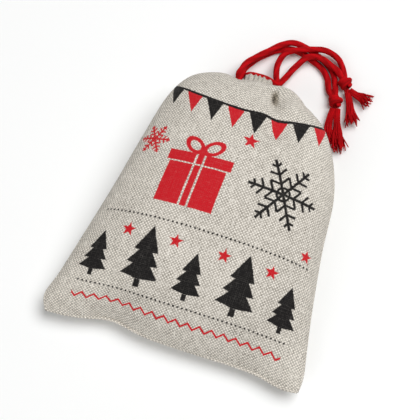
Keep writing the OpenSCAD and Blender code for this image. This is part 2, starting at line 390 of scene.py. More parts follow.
# Layout of the print: places across from the middle line and up from the bottom seam, then the sizes
BUNTING_Y = 146.0
BUNTING_SAG = 0.0042
BUNTING_HALF_W = 52.0
STRING_HALF_W = 53.5
PENNANT_PITCH = 13.0
PENNANT_DROP = 13.0
LARGE_FLAKE = (33.0, 104.0, 21.0, 0.85)
SMALL_FLAKE = (-50.0, 117.0, 10.0, 0.6)
GIFT = (-18.0, 80.0, 17.0, 25.0)
LONE_STARS = ((6.0, 128.0, 5.0, 2.1), (58.0, 76.0, 4.0, 1.7))
TREE_PITCH = 28.0
TREE_Y = 30.0
TREE_TALL = 27.0
TREE_GROWTH = 0.30
TREES_HALF_W = 66.0
STAR_Y = 60.0
STAR_TIP = 4.2
STAR_NOTCH = 1.8
BAND_HALF_W = 62.0
RULES_Y = (25.0, 70.0)
DOT_PITCH = 2.6
DOT_R = 0.62
CHEVRON_Y = 14.5
CHEVRON_PITCH = 7.0
CHEVRON_RISE = 3.2
CHEVRON_LINE = 0.75
OFF_CLOTH = 90.0


def placed(motif, x, y, spot):
    """A motif at its place, from its place across and up and its two sizes."""
    across, up, first, second = spot
    return motif(x - across, y - up, first, second)


def printed(x, y):
    """Distances to the black print and to the red one, below zero inside them."""
    pennant, string, other = bunting(x, y - BUNTING_Y, PENNANT_PITCH, PENNANT_DROP, BUNTING_SAG)
    pennant = pennant.most(abs(x) - BUNTING_HALF_W)
    string = string.most(abs(x) - STRING_HALF_W)
    cell = (x + TREE_PITCH / 2) % TREE_PITCH - TREE_PITCH / 2
    size = 1.0 + TREE_GROWTH * (((x + TREE_PITCH / 2) / (TREE_PITCH * 2)) % 1.0).over(0.5)
    trees = fir(cell / size, (y - TREE_Y) / size, TREE_TALL).most(abs(x) - TREES_HALF_W)
    band = abs(x) - BAND_HALF_W
    stars = star((x % TREE_PITCH) - TREE_PITCH / 2, y - STAR_Y, STAR_TIP, STAR_NOTCH).most(band)
    rules = [dots(x, y - up, DOT_PITCH, DOT_R).most(band) for up in RULES_Y]
    zigzag = chevrons(x, y - CHEVRON_Y, CHEVRON_PITCH, CHEVRON_RISE, CHEVRON_LINE).most(band)
    lone_stars = [placed(star, x, y, spot) for spot in LONE_STARS]
    large_flake = placed(snowflake, x, y, LARGE_FLAKE)
    small_flake = placed(snowflake, x, y, SMALL_FLAKE)
    gift = placed(parcel, x, y, GIFT)
    black = trees.least(large_flake, string, *rules, pennant + other * OFF_CLOTH)
    red = gift.least(stars, *lone_stars, zigzag, small_flake, pennant + (1.0 - other) * OFF_CLOTH)
    return black, red


INK_FRAY = 0.7
INK_SLUB_FRAY = 0.5
INK_EDGE = 2.6
INK_COVER = 0.93
INK_ON_CREST = 0.10
INK_ON_SLUB = 0.25
INK_GRAIN = 1.3


def ink_share(distance, height, tone, grain):
    """Share of ink at a place, with an edge that frays along the threads."""
    frayed = distance + (grain - 0.5) * INK_FRAY + (tone - 0.5) * INK_SLUB_FRAY
    solid = (0.5 - frayed * INK_EDGE).clamped()
    return solid * (INK_COVER + height * INK_ON_CREST - (tone - 0.5) * INK_ON_SLUB).clamped()


MM_PER_METRE = 1000.0


def linen(name, with_print=False):
    finish = Finish(name)
    x, y = (value * MM_PER_METRE for value in finish.pattern())
    colour, height, tone = linen_colour(finish, x, y)
    if with_print:
        black, red = printed(x, y)
        grain = finish.noise(finish.place(x, y), INK_GRAIN)
        colour = finish.mix(ink_share(red, height, tone, grain), colour, INK_RED)
        colour = finish.mix(ink_share(black, height, tone, grain), colour, INK_BLACK)
    return finish.surface(
        Base_Color=colour,
        Roughness=0.88 - height * 0.08,
        Specular_IOR_Level=0.18,
        Sheen_Weight=0.04,
        Sheen_Roughness=0.5,
        Normal=finish.bump(height + tone * SLUB_RELIEF, WEAVE_RELIEF, WEAVE_BUMP))


# Cord: soft spun cotton of three plies that lie aslant, with fine fibres along them
CORD_D = 4.0 * MM
PLIES = 3
PLY_RELIEF = 0.05
# How much darker the grooves between the plies are painted: painted shade
PLY_GROOVE_SHADE = 0.55
PLY_BUMP = 0.5
FIBRE_ROUND = 4.0
FIBRE_ALONG = 0.3
FIBRE_TONE = 1.5
FIBRE_BUMP = 0.8
FIBRE_PALE_FROM = 0.60
FIBRE_PALE_GAIN = 4.0
FIBRE_PALE_SHARE = 0.5
CORD_CLOUD_SCALE = 90.0
CORD_CLOUD_TONE = 0.5
CORD_TONE = 0.35
CORD_RELIEF = 0.3 * MM
CORD_BUMP = 0.6

# How far along the cord one ply takes the place of the next, in millimetres
PLY_PITCH = 11.0


def spun_cord(name):
    finish = Finish(name)
    around, along = finish.pattern()
    along = along * MM_PER_METRE
    ply = ((around * PLIES + along / PLY_PITCH) * math.tau).do("COSINE") * 0.5 + 0.5
    twist = (around + along / (PLIES * PLY_PITCH)) * math.tau
    fibre = finish.noise(
        finish.place(twist.do("COSINE") * FIBRE_ROUND, twist.do("SINE") * FIBRE_ROUND, along * FIBRE_ALONG),
        detail=3.0, rough=0.65)
    cloud = finish.noise(finish.add("ShaderNodeTexCoord", output="Object"), CORD_CLOUD_SCALE)
    fleck = (fibre - 0.5) * FIBRE_TONE + (cloud - 0.5) * CORD_CLOUD_TONE
    # Darker in the grooves between the plies, as painted shade; the fibre flecks and clouds are the
    # cotton's own tone
    colour = finish.mix((ply * PLY_GROOVE_SHADE + fleck + CORD_TONE).clamped(), CORD_DEEP, CORD_RED)
    pale = ((fibre - FIBRE_PALE_FROM) * FIBRE_PALE_GAIN).clamped() * FIBRE_PALE_SHARE
    return finish.surface(
        Base_Color=finish.mix(pale, colour, CORD_PALE),
        Roughness=0.78 + fibre * 0.15,
        Specular_IOR_Level=0.12,
        Sheen_Weight=0.03,
        Sheen_Roughness=0.4,
        Sheen_Tint=CORD_PALE,
        Normal=finish.bump(ply * PLY_BUMP + fibre * FIBRE_BUMP, CORD_RELIEF, CORD_BUMP))


THREAD_GRAIN = 2500.0
THREAD_RELIEF = 0.1 * MM
THREAD_BUMP = 0.5


def sewing_thread(name):
    finish = Finish(name)
    grain = finish.noise(finish.add("ShaderNodeTexCoord", output="Object"), THREAD_GRAIN)
    return finish.surface(
        Base_Color=finish.mix(grain, LINEN_LIGHT, THREAD_CREAM),
        Roughness=0.7 + grain * 0.2,
        Normal=finish.bump(grain, THREAD_RELIEF, THREAD_BUMP))


FRONT_LINEN = linen("printed_linen", with_print=True)
PLAIN_LINEN = linen("plain_linen")
RED_CORD = spun_cord("red_cotton_cord")
RED_YARN = spun_cord("red_cotton_yarn")
CREAM_THREAD = sewing_thread("cream_thread")


# Making pieces
def piece_from(bm, name, material):
    mesh = bpy.data.meshes.new(name)
    bm.to_mesh(mesh)
    bm.free()
    for face in mesh.polygons:
        face.use_smooth = True
    piece = bpy.data.objects.new(name, mesh)
    scene.collection.objects.link(piece)
    mesh.materials.append(material)
    return piece


def route(*points):
    return [Vector(point) * MM for point in points]


def curve_through(a, b, c, d, share):
    """The place at a share of the way from b to c, on the smooth curve through a, b, c and d."""
    bend = 2 * a - 5 * b + 4 * c - d
    swing = 3 * b - a - 3 * c + d
    return 0.5 * (2 * b + (c - a) * share + bend * share ** 2 + swing * share ** 3)


FINE_STEPS = 16


def smooth_path(points, step):
    """Points every step or so along the smooth curve through these points."""
    points = np.array(points, float)
    last = len(points) - 1
    fine = []
    for i in range(last):
        near = points[[max(i - 1, 0), i, i + 1, min(i + 2, last)]]
        fine += [curve_through(*near, share) for share in np.linspace(0, 1, FINE_STEPS, endpoint=False)]
    fine = np.array([*fine, points[-1]])
    gone = np.concatenate([[0], np.cumsum(np.linalg.norm(np.diff(fine, axis=0), axis=1))])
    rings = max(3, round(gone[-1] / step) + 1)
    even = np.linspace(0, gone[-1], rings)
    return np.stack([np.interp(even, gone, fine[:, k]) for k in range(3)], axis=1)


def path_length(path):
    return float(np.linalg.norm(np.diff(path, axis=0), axis=1).sum())


# A direction that no path starts along
UNLIKE_ANY = (0.31, 0.17, 0.93)


def carried_frames(path):
    """Two directions square to the path at each point, carried along it with no twist."""
    ahead = np.gradient(path, axis=0)
    ahead /= np.linalg.norm(ahead, axis=1)[:, None]
    start = np.cross(ahead[0], UNLIKE_ANY)
    aside = [start / np.linalg.norm(start)]
    for direction in ahead[1:]:
        turned = aside[-1] - direction * np.dot(aside[-1], direction)
        aside.append(turned / np.linalg.norm(turned))
    aside = np.array(aside)
    return aside, np.cross(ahead, aside)


def pattern_layer(bm):
    """The pattern map of a piece, made once."""
    return bm.loops.layers.uv.get(PATTERN_MAP) or bm.loops.layers.uv.new(PATTERN_MAP)


MERGE_REACH = 1e-7


def add_tube(bm, path, radius, sides):
    """A tube along a path. radius takes the share along the path, the angle round it and the way gone."""
    layer = pattern_layer(bm)
    rings = len(path)
    made = bmesh.ops.create_grid(
        bm, x_segments=sides, y_segments=rings - 1, size=0.5, calc_uvs=True)["verts"]
    aside, up = carried_frames(path)
    length = path_length(path)
    for vert in made:
        share = vert.co.y + 0.5
        ring = round(share * (rings - 1))
        angle = -math.tau * (vert.co.x + 0.5)
        out = radius(share, angle, share * length)
        vert.co = Vector(path[ring] + out * (aside[ring] * math.cos(angle) + up[ring] * math.sin(angle)))
    for face in {face for vert in made for face in vert.link_faces}:
        for loop in face.loops:
            loop[layer].uv.y *= length
    bmesh.ops.remove_doubles(bm, verts=made, dist=MERGE_REACH)
    rims = [edge for edge in bm.edges if edge.is_boundary]
    bmesh.ops.holes_fill(bm, edges=rims, sides=0)


def steady(radius):
    """The same radius all along a tube."""
    return lambda share, angle, along: radius


# Cords: the routes of the free strands on the floor, from the mouth to the knots
STRAND_Z = 2.1
UPPER_Z = 6.3
KNOT_Z = 4.7
LEFT_FRONT = route(
    (-11.4, 79.4, 12.2), (-12.6, 81.6, 12.1), (-13, 85.2, 11.9), (-13.2, 89.2, 11.4), (-12.8, 93.2, 10.6),
    (-11.2, 97.2, 9.4), (-8.4, 101.4, 8.2), (-4, 106.8, 7.2), (0.8, 112.2, 6.6), (4.6, 116.2, UPPER_Z),
    (8.4, 118.8, 6), (12.2, 120.3, 5), (16.2, 120.8, 3.8), (20.6, 120.2, 2.5), (25.6, 118.6, STRAND_Z),
    (32.2, 115.4, STRAND_Z), (37.4, 111.8, STRAND_Z), (41, 107.4, STRAND_Z), (43, 102.4, 2.4),
    (44.6, 97, 3.4))
LEFT_BACK = route(
    (-11.4, 79.4, 6.9), (-12.8, 81.6, 6.4), (-13.4, 85.2, 5), (-13.8, 89.2, 3.6), (-13.4, 93.2, 2.5),
    (-11.8, 98, STRAND_Z), (-8.2, 103.4, STRAND_Z), (-3.2, 109, STRAND_Z), (2.6, 113.6, STRAND_Z),
    (8.2, 116.4, STRAND_Z), (13.4, 117, STRAND_Z), (18.4, 116.2, STRAND_Z), (24, 114, STRAND_Z),
    (30, 111.4, STRAND_Z), (34.6, 108.2, STRAND_Z), (37.6, 104.2, STRAND_Z), (39.4, 99.8, 2.4),
    (41.2, 95.6, 3.4))
RIGHT_FRONT = route(
    (9.6, 86.4, 12.2), (9.4, 88.6, 11.2), (8, 91.8, 9.8), (6.8, 96.4, 8.4), (6.2, 101.8, 7.2),
    (6.6, 106.8, 6.6), (8.4, 111, 6.4), (11.4, 113.8, UPPER_Z), (15.6, 115.8, UPPER_Z),
    (20, 117.6, UPPER_Z), (25.2, 119.4, UPPER_Z), (30.6, 120.6, 6), (35.8, 120.4, 5), (40.4, 118.4, 4),
    (43.8, 114.8, 3.8), (46, 110.6, 4))
RIGHT_BACK = route(
    (9.6, 86.6, 6.9), (10.8, 89.4, 6.6), (12.4, 93.4, 5.8), (14.2, 98.4, 5), (16.6, 104.2, 5),
    (19.4, 109.4, 5.6), (22.6, 113, UPPER_Z), (26.6, 114.6, UPPER_Z), (31.4, 114.2, UPPER_Z),
    (36.2, 112.4, UPPER_Z), (39.8, 110.6, UPPER_Z), (42.6, 109.2, 6.2))
LEFT_KNOT = Vector((46.8, 90, KNOT_Z)) * MM
RIGHT_KNOT = Vector((49.2, 103.8, KNOT_Z)) * MM
LEFT_SIDE_TAIL = route((46.8, 84.6, 4.6), (46.6, 77.4, 3.6), (47.8, 68.8, 3.8), (50.6, 59.8, 4.4))
LEFT_END_TAIL = route((49, 85.4, 4.4), (51.2, 77.4, 3.6), (54, 68.4, 3.8), (57.6, 58.6, 4.4))
RIGHT_INNER_TAIL = route((51.4, 99.6, 4.4), (55, 92.2, 3.4), (57.6, 85, 3.8), (60.6, 77.4, 4.4))
RIGHT_OUTER_TAIL = route((52.8, 99.4, 4.8), (58.4, 98.2, 3.6), (63.2, 97.2, 3.8), (67.6, 95.8, 4.4))
CORD_SIDES = 18
CORD_STEP = 0.55 * MM

# A strand swells where it is pressed out of its casing: by what share, how far along and over what reach
EXIT_BULGE = 0.58
EXIT_AT = 7.6 * MM
EXIT_REACH = 3.2 * MM


def plied(radius):
    """The radius of a cord with soft plies laid aslant."""
    def at(share, angle, along):
        ply = math.cos(PLIES * angle - math.tau * along / (PLY_PITCH * MM))
        return radius * (1 - PLY_RELIEF + PLY_RELIEF * ply)
    return at


cord_radius = plied(CORD_D / 2)


def exit_radius(share, angle, along):
    bulge = EXIT_BULGE * math.exp(-((along - EXIT_AT) / EXIT_REACH) ** 2)
    return cord_radius(share, angle, along) * (1 + bulge)


def cord_piece(name, path, radius=cord_radius):
    bm = bmesh.new()
    add_tube(bm, path, radius, CORD_SIDES)
    piece = piece_from(bm, name, RED_CORD)
    return piece


# Knots: a cord end wound round the strands and pulled tight into a ball
KNOT_TURNS = 2.15
KNOT_WIND = 2.6
KNOT_SHOULDER = 1.7
KNOT_LENGTH = 5.0
KNOT_CORD_R = 1.95
KNOT_POINTS = 40
KNOT_REACH = 5.0 * MM


def knot_path(at, turn):
    points = []
    for share in np.linspace(0, 1, KNOT_POINTS):
        angle = math.tau * KNOT_TURNS * share
        out = KNOT_WIND * min(1.0, KNOT_SHOULDER * math.sin(math.pi * share))
        wound = Vector(((share - 0.5) * KNOT_LENGTH, out * math.cos(angle), out * math.sin(angle)))
        points.append(wound * MM)
    place = Matrix.Translation(at) @ Matrix.Rotation(math.radians(turn), 4, "Z")
    return smooth_path([place @ point for point in points], CORD_STEP)


def run_into_knot(path, knot_at):
    """Runs the end of a path on towards the middle of its knot."""
    step = np.array(knot_at) - path[-1]
    far = np.linalg.norm(step)
    reach = min(KNOT_REACH, far)
    count = max(2, round(reach / CORD_STEP))
    more = [path[-1] + step * (reach / far) * k / count for k in range(1, count + 1)]
    return np.concatenate([path, more])


# Tails: loose yarns that leave the knot as one bundle, then spread, wave and lean
YARNS = 38
YARN_R = 0.5 * MM
YARN_SIDES = 6
YARN_STEP = 1.1 * MM
YARN_TAPER = 0.35
YARN_TIP_POWER = 6
YARN_WAG = 0.6
YARN_WAVES = 7.0
YARN_CUT = 3
YARN_CLEARANCE = 1.1
TAIL_STEP = 1.6 * MM
TAIL_FLATNESS = 0.72
BUNDLE_R = 1.9
FRAY_FROM = 0.25
LEAN_FROM = 0.55
LEAN_MOST = 0.9
LEAN_GAIN = 1.6

# The angle from each yarn to the next, which spaces them evenly round the middle line
GOLDEN_ANGLE = 2.399963


def yarn_radius(share, angle, along):
    return YARN_R * (1.0 - YARN_TAPER * share ** YARN_TIP_POWER)


def yarn_path(middle, frames, k, splay, draw):
    """Path of a tail's yarn number k. The tail's end is about splay millimetres wide to each side."""
    aside, up = frames
    count = len(middle)
    angle = k * GOLDEN_ANGLE
    part = math.sqrt((k + 0.5) / YARNS)
    wave = draw.uniform(0, math.tau)
    lean = draw.uniform(-LEAN_MOST, LEAN_MOST) * splay
    stop = count - draw.randint(0, YARN_CUT)
    path = []
    for j in range(stop):
        share = j / (count - 1)
        loose = max(0.0, (share - FRAY_FROM) / (1 - FRAY_FROM))
        spread = (BUNDLE_R + (splay - BUNDLE_R) * loose * loose * (3 - 2 * loose)) * MM * part
        wag = YARN_WAG * MM * loose * math.sin(wave + share * YARN_WAVES)
        out = aside[j] * (math.cos(angle) * spread + wag)
        out = out + up[j] * (math.sin(angle) * spread * TAIL_FLATNESS + wag * 0.5)
        out = out + aside[j] * lean * MM * max(0.0, share - LEAN_FROM) * LEAN_GAIN
        place = middle[j] + out
        place[2] = max(place[2], YARN_R * YARN_CLEARANCE)
        path.append(place)
    return smooth_path(path, YARN_STEP)


def tail_piece(name, points, seed, splay):
    draw = random.Random(seed)
    middle = smooth_path(points, TAIL_STEP)
    frames = carried_frames(middle)
    bm = bmesh.new()
    for k in range(YARNS):
        add_tube(bm, yarn_path(middle, frames, k, splay, draw), yarn_radius, YARN_SIDES)
    piece = piece_from(bm, name, RED_YARN)
    return piece


def make_pull(side, knot_at, turn, tails):
    """A knot at its turn in degrees, and its tails, each from its node, route, seed and splay."""
    body = side + "_pull"
    knot = cord_piece(side + "_overhand_knot", knot_path(knot_at, turn), plied(KNOT_CORD_R * MM))
    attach(knot, body)
    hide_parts(side + "_knot")
    made = [knot]
    for node, points, seed, splay in tails:
        tail = tail_piece(node + "_yarns", points, seed, splay)
        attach(tail, body)
        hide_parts(node)
        made.append(tail)
    return made


def make_strand(node, points, knot_at, radius=cord_radius):
    """A free strand from the mouth, run on into its knot."""
    path = run_into_knot(smooth_path(points, CORD_STEP), knot_at)
    piece = cord_piece(node + "_cord", path, radius)
    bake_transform(piece)
    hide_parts(node)


left_pull = make_pull("left", LEFT_KNOT, -66, [
    ("left_side_tail", LEFT_SIDE_TAIL, 11, 4.6), ("left_end_tail", LEFT_END_TAIL, 12, 4.8)])
right_pull = make_pull("right", RIGHT_KNOT, -40, [
    ("right_inner_tail", RIGHT_INNER_TAIL, 13, 4.6), ("right_outer_tail", RIGHT_OUTER_TAIL, 14, 5.0)])
make_strand("left_front_strand", LEFT_FRONT, LEFT_KNOT, exit_radius)
make_strand("left_back_strand", LEFT_BACK, LEFT_KNOT)
make_strand("right_front_strand", RIGHT_FRONT, RIGHT_KNOT)
make_strand("right_back_strand", RIGHT_BACK, RIGHT_KNOT)


# Mouth: the two cord rows in the gathered casings, and the half turns at their ends
MOUTH_X = -1.0
MOUTH_HALF = 8.5
MOUTH_Z = 9.7
CASING_RISE = 3.0
CASING_END = 3.4
NEAR_ROW_Y = 79.0
FAR_ROW_Y = 86.0
NOTCH_X = -4.4
BIGHT_OFF = 1.8
NOTCH_OFF = 0.4
CURVE_POINTS = 9


def casing_height(side, x):
    """Height of a casing's middle line at x from the mouth's middle; side is 1 in front and -1 behind."""
    return MOUTH_Z + side * (CASING_END + CASING_RISE * (1 - (x / MOUTH_HALF) ** 2))


def make_run(node, side, y, from_x, strand, strand_side):
    """A cord's run in a casing, with the bend that joins it to its strand on the left (-1) or right (1)."""
    across = np.linspace(from_x, MOUTH_HALF, CURVE_POINTS)
    points = route(*((MOUTH_X + x, y, casing_height(side, x)) for x in across))
    bend = [strand[0], (strand[0] + strand[1]) / 2]
    points = points + bend if strand_side > 0 else bend[::-1] + points
    piece = cord_piece(node + "_cord", smooth_path(points, CORD_STEP))
    if side > 0:
        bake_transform(piece)
    else:
        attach(piece, "sack")
    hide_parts(node)


def make_bight(node, end_x, off, y, side):
    """The half turn of a cord from the front casing to the back one, past the end of its row."""
    rise = casing_height(1, end_x) - MOUTH_Z
    start = MOUTH_X + end_x
    points = [
        (start, y, MOUTH_Z + rise),
        *((start + side * (off + CASING_END * math.sin(a)), y, MOUTH_Z + rise * math.cos(a))
          for a in np.linspace(0, math.pi, CURVE_POINTS)),
        (start, y, MOUTH_Z - rise)]
    piece = cord_piece(node + "_cord", smooth_path(route(*points), CORD_STEP))
    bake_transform(piece)
    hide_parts(node)


make_run("left_cord_front_run", 1, NEAR_ROW_Y, -MOUTH_HALF, LEFT_FRONT, -1)
make_run("left_cord_back_run", -1, NEAR_ROW_Y, -MOUTH_HALF, LEFT_BACK, -1)
make_run("right_cord_front_run", 1, FAR_ROW_Y, NOTCH_X, RIGHT_FRONT, 1)
make_run("right_cord_back_run", -1, FAR_ROW_Y, NOTCH_X, RIGHT_BACK, 1)
make_bight("left_cord_bight", MOUTH_HALF, BIGHT_OFF, NEAR_ROW_Y, 1)
make_bight("right_cord_bight", NOTCH_X, NOTCH_OFF, FAR_ROW_Y, -1)


# Sack: two panels sewn along three sides and swollen into a plump shape
FLAT_W = 152.0
FLAT_L = 200.0

# Each ring across the sack gives its place along it, its half width, the heights of seam, crown and keel,
# how square its arch is and how far its middle leans to the right
RINGS = np.array([
    (-88.8, 74.6, 9.2, 9.7, 8.7, 2.0, 0.8),
    (-80.5, 76.4, 10.1, 18.6, 1.4, 1.9, -0.6),
    (-67.2, 73.2, 12.4, 27.6, -2.8, 1.9, 0.2),
    (-45.6, 68.8, 15.6, 36.8, -3.7, 2.0, 1.0),
    (-10.8, 62.9, 18.4, 44.6, -3.7, 2.1, 2.5),
    (24.1, 58.4, 19.3, 46.0, -3.7, 2.2, 4.0),
    (52.3, 50.6, 19.3, 42.6, -3.2, 2.3, 1.6),
    (68.1, 40.0, 18.4, 36.8, -1.8, 2.3, -1.0),
    (75.5, 29.2, 16.1, 31.2, -0.5, 2.2, -0.4),
    (77.2, 22.6, 13.8, 26.2, 1.4, 2.1, 0.4),
    (75.6, 15.5, 9.7, 20.0, 3.2, 2.0, -1.0),
    (77.4, 10.2, 9.7, 17.8, 2.4, 2.0, -1.0)])
LAST_RING = len(RINGS) - 1
NECK_RING = 8.3
ROWS = 210
COLUMNS = 140
FLOOR_SOFT = 0.8
SEAM_GAP = 0.35
SEAM_HOLD = 3
CLOTH_T = 0.55 * MM

# Pucker of the front: its place across and along, half width, half length and turn, then its pull
PUCKER = (14.0, 67.0, 1.6, 4.0, 18)
PUCKER_PULL = np.array((-1.1, 3.8, -10.0))

# Flutes of the gathers across the mouth, which fade out at its ends and aren't quite even
FLUTES = 6
FLUTE_DEPTH = 1.6
FLUTE_FADE = 8
FLUTE_DRIFT = 1.3
FLUTE_DRIFT_TURNS = 9

# The grid of each panel is finer round the pucker, at these shares along and across it
PUCKER_ROW = 0.635
PUCKER_ROW_REACH = 0.05
PUCKER_COLUMN = 0.605
PUCKER_COLUMN_REACH = 0.06
TIMES_FINER = 4
CROWD_STEPS = 1001


def crowded(count, at, reach):
    """Steps from 0 to 1 that lie closer together round one place."""
    even = np.linspace(0, 1, CROWD_STEPS)
    gone = np.cumsum(1 + (TIMES_FINER - 1) * np.exp(-((even - at) / reach) ** 2))
    gone = (gone - gone[0]) / (gone[-1] - gone[0])
    return np.interp(np.linspace(0, 1, count + 1), gone, even)


ROW_PLACES = crowded(ROWS, PUCKER_ROW, PUCKER_ROW_REACH) * LAST_RING
COLUMN_PLACES = crowded(COLUMNS, PUCKER_COLUMN, PUCKER_COLUMN_REACH)


def ring_at(t):
    """The smooth run of ring values at places t, in rings."""
    i = np.clip(np.floor(t).astype(int), 0, LAST_RING - 1)
    near = (RINGS[np.clip(i + k, 0, LAST_RING)] for k in (-1, 0, 1, 2))
    return curve_through(*near, (t - i)[:, None])


def flute(share):
    """Wave of the gathers across the mouth, at a share from -0.5 to 0.5."""
    fade = np.clip((0.5 - np.abs(share)) * FLUTE_FADE, 0, 1)
    return fade * np.sin(math.tau * FLUTES * share + FLUTE_DRIFT * np.sin(FLUTE_DRIFT_TURNS * share))


def swell(places, x, y, width, length, turn=0.0):
    """A soft round rise of height 1 at x, y, of this half width across and half length along."""
    dx = places[..., 0] - x
    dy = places[..., 1] - y
    cos = math.cos(math.radians(turn))
    sin = math.sin(math.radians(turn))
    return np.exp(-(((dx * cos + dy * sin) / width) ** 2 + ((dy * cos - dx * sin) / length) ** 2))


SHORTEST_NORMAL = 1e-9


def surface_normals(places):
    normals = np.cross(np.gradient(places, axis=1), np.gradient(places, axis=0))
    return normals / np.maximum(np.linalg.norm(normals, axis=2, keepdims=True), SHORTEST_NORMAL)


# Hollows and swells of the soft front: rise, place across and along, half width and length, and turn
FRONT_FORMS = [
    (-3.4, 14.6, 66.0, 5.0, 7.0, 18),
    (-2.4, 17.0, 58.5, 4.0, 5.5, 20),
    (2.6, 18.0, 75.5, 9.0, 5.0, 0),
    (2.2, 10.5, 52.0, 8.0, 6.5, 0),
    (1.8, 25.5, 63.0, 6.5, 7.0, 0),
    (-3.6, 21.5, 44.5, 8.0, 7.5, 0),
    (1.3, -8.0, 58.0, 15.0, 13.0, 0),
    (-1.6, 34.0, 70.5, 6.0, 6.0, 0),
    (-2.4, -10.5, 76.5, 6.5, 6.0, 0),
    (-1.5, -38.0, -72.0, 14.0, 14.0, 0),
    (-1.2, 30.0, -74.0, 20.0, 10.0, 0)]
FRONT_WAVE = 0.7
FRONT_WAVE_X = 13.0
FRONT_WAVE_Y = 17.0
WAVE_START_X = 0.8
WAVE_START_Y = 0.4


def front_relief(places):
    across = np.sin(places[..., 0] / FRONT_WAVE_X + WAVE_START_X)
    along = np.sin(places[..., 1] / FRONT_WAVE_Y + WAVE_START_Y)
    return FRONT_WAVE * across * along + sum(rise * swell(places, *form) for rise, *form in FRONT_FORMS)


# The bottom edge bows in between its corners, over the first rings. Its forms are how far it is drawn in or
# out, at which place and over what half width.
BOTTOM_BOW = 2.0
BOTTOM_FORMS = [(3.4, -38.0, 15.0), (-2.6, 66.0, 12.0)]
BOTTOM_RINGS = 2


def bottom_shift(x, half_w):
    shift = BOTTOM_BOW * (1 - (x / half_w) ** 2)
    return shift + sum(rise * np.exp(-((x - at) / width) ** 2) for rise, at, width in BOTTOM_FORMS)


def ring_surface(side):
    """A plump panel's places in millimetres, from the bottom seam to the mouth and left to right."""
    y, half_w, seam, crown, keel, square, lean = (column[:, None] for column in ring_at(ROW_PLACES).T)
    angle = math.pi * (1 - COLUMN_PLACES)[None, :]
    cos = np.cos(angle)
    x = half_w * np.sign(cos) * np.abs(cos) ** (2 / square)
    arch = np.abs(np.sin(angle)) ** (2 / square)
    base = seam + side * SEAM_GAP
    z = base + ((crown if side > 0 else keel) - base) * arch
    y = y + np.maximum(0, 1 - ROW_PLACES / BOTTOM_RINGS)[:, None] * bottom_shift(x, half_w)
    return np.stack([lean + x, y, z], axis=2), arch


def panel_places(side):
    """The plump panel with its gathers at the mouth, its hollows and swells, and flat where it rests."""
    plump, arch = ring_surface(side)
    drawn = np.clip((ROW_PLACES - NECK_RING) / (LAST_RING - NECK_RING), 0, 1)[:, None]
    rise = FLUTE_DEPTH * np.sqrt(drawn) * flute(COLUMN_PLACES - 0.5)[None, :]
    if side > 0:
        rise = rise + front_relief(plump)
    held = np.minimum(1, arch * SEAM_HOLD)[..., None]
    places = plump + surface_normals(plump) * side * rise[..., None] * held
    if side > 0:
        return places + swell(plump, *PUCKER)[..., None] * PUCKER_PULL
    places[..., 2] = FLOOR_SOFT * np.logaddexp(0, places[..., 2] / FLOOR_SOFT)
    return places


def pattern_places(places):
    """Flat place of each point: its distance along the cloth from the middle line and the bottom seam."""
    steps = np.linalg.norm(np.diff(places, axis=1), axis=2)
    across = np.concatenate([np.zeros((len(places), 1)), np.cumsum(steps, axis=1)], axis=1)
    across -= np.array([[np.interp(0.5, COLUMN_PLACES, row)] for row in across])
    middle = places[:, np.searchsorted(COLUMN_PLACES, 0.5)]
    along = np.concatenate([[0], np.cumsum(np.linalg.norm(np.diff(middle, axis=0), axis=1))])
    return np.stack([across, np.broadcast_to(along[:, None], across.shape)], axis=2)


def cloth_piece(bm, name, material, side):
    """A cloth wall from its outer face, which is turned over behind."""
    if side < 0:
        bmesh.ops.reverse_faces(bm, faces=list(bm.faces))
    piece = piece_from(bm, name, material)
    wall = piece.modifiers.new("cloth_wall", "SOLIDIFY")
    wall.thickness = CLOTH_T
    wall.offset = -1.0
    return piece


def panel_piece(name, side, material):
    places = panel_places(side)
    pattern = pattern_places(ring_surface(side)[0])
    bm = bmesh.new()
    layer = pattern_layer(bm)
    for vert in bmesh.ops.create_grid(bm, x_segments=COLUMNS, y_segments=ROWS, size=0.5)["verts"]:
        row = round((vert.co.y + 0.5) * ROWS)
        column = round((vert.co.x + 0.5) * COLUMNS)
        vert.co = Vector(places[row, column]) * MM
        for loop in vert.link_loops:
            loop[layer].uv = pattern[row, column] * MM
    piece = cloth_piece(bm, name, material, side)
    return piece


# The front cloth stays where it is made; the back cloth goes with the sack
front_cloth = panel_piece("front_cloth", 1, FRONT_LINEN)
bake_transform(front_cloth)
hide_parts("front_panel")
back_cloth = panel_piece("back_cloth", -1, PLAIN_LINEN)
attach(back_cloth, "sack")
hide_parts("back_panel")


# Seams: a thin rolled edge where the two panels meet, up to a ring beside the mouth
SEAM_R = 0.75 * MM
SEAM_STEP = 1.2 * MM
SEAM_SIDES = 8
SEAM_END_RING = 10.7
SEAM_ROWS = np.searchsorted(ROW_PLACES, SEAM_END_RING)
SEAM_PLACES = (panel_places(1) + panel_places(-1)) / 2


def seam_piece(node, points):
    bm = bmesh.new()
    add_tube(bm, smooth_path(points * MM, SEAM_STEP), steady(SEAM_R), SEAM_SIDES)
    layer = pattern_layer(bm)
    for face in bm.faces:
        for loop in face.loops:
            loop[layer].uv.x *= math.tau * SEAM_R
    piece = piece_from(bm, node + "_edge", PLAIN_LINEN)
    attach(piece, "sack")
    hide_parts(node)


seam_piece("left_side_seam", SEAM_PLACES[:SEAM_ROWS, 0])
seam_piece("right_side_seam", SEAM_PLACES[:SEAM_ROWS, -1])
seam_piece("bottom_seam", SEAM_PLACES[0])


# Casings: the hem folded over the cords and drawn into flutes

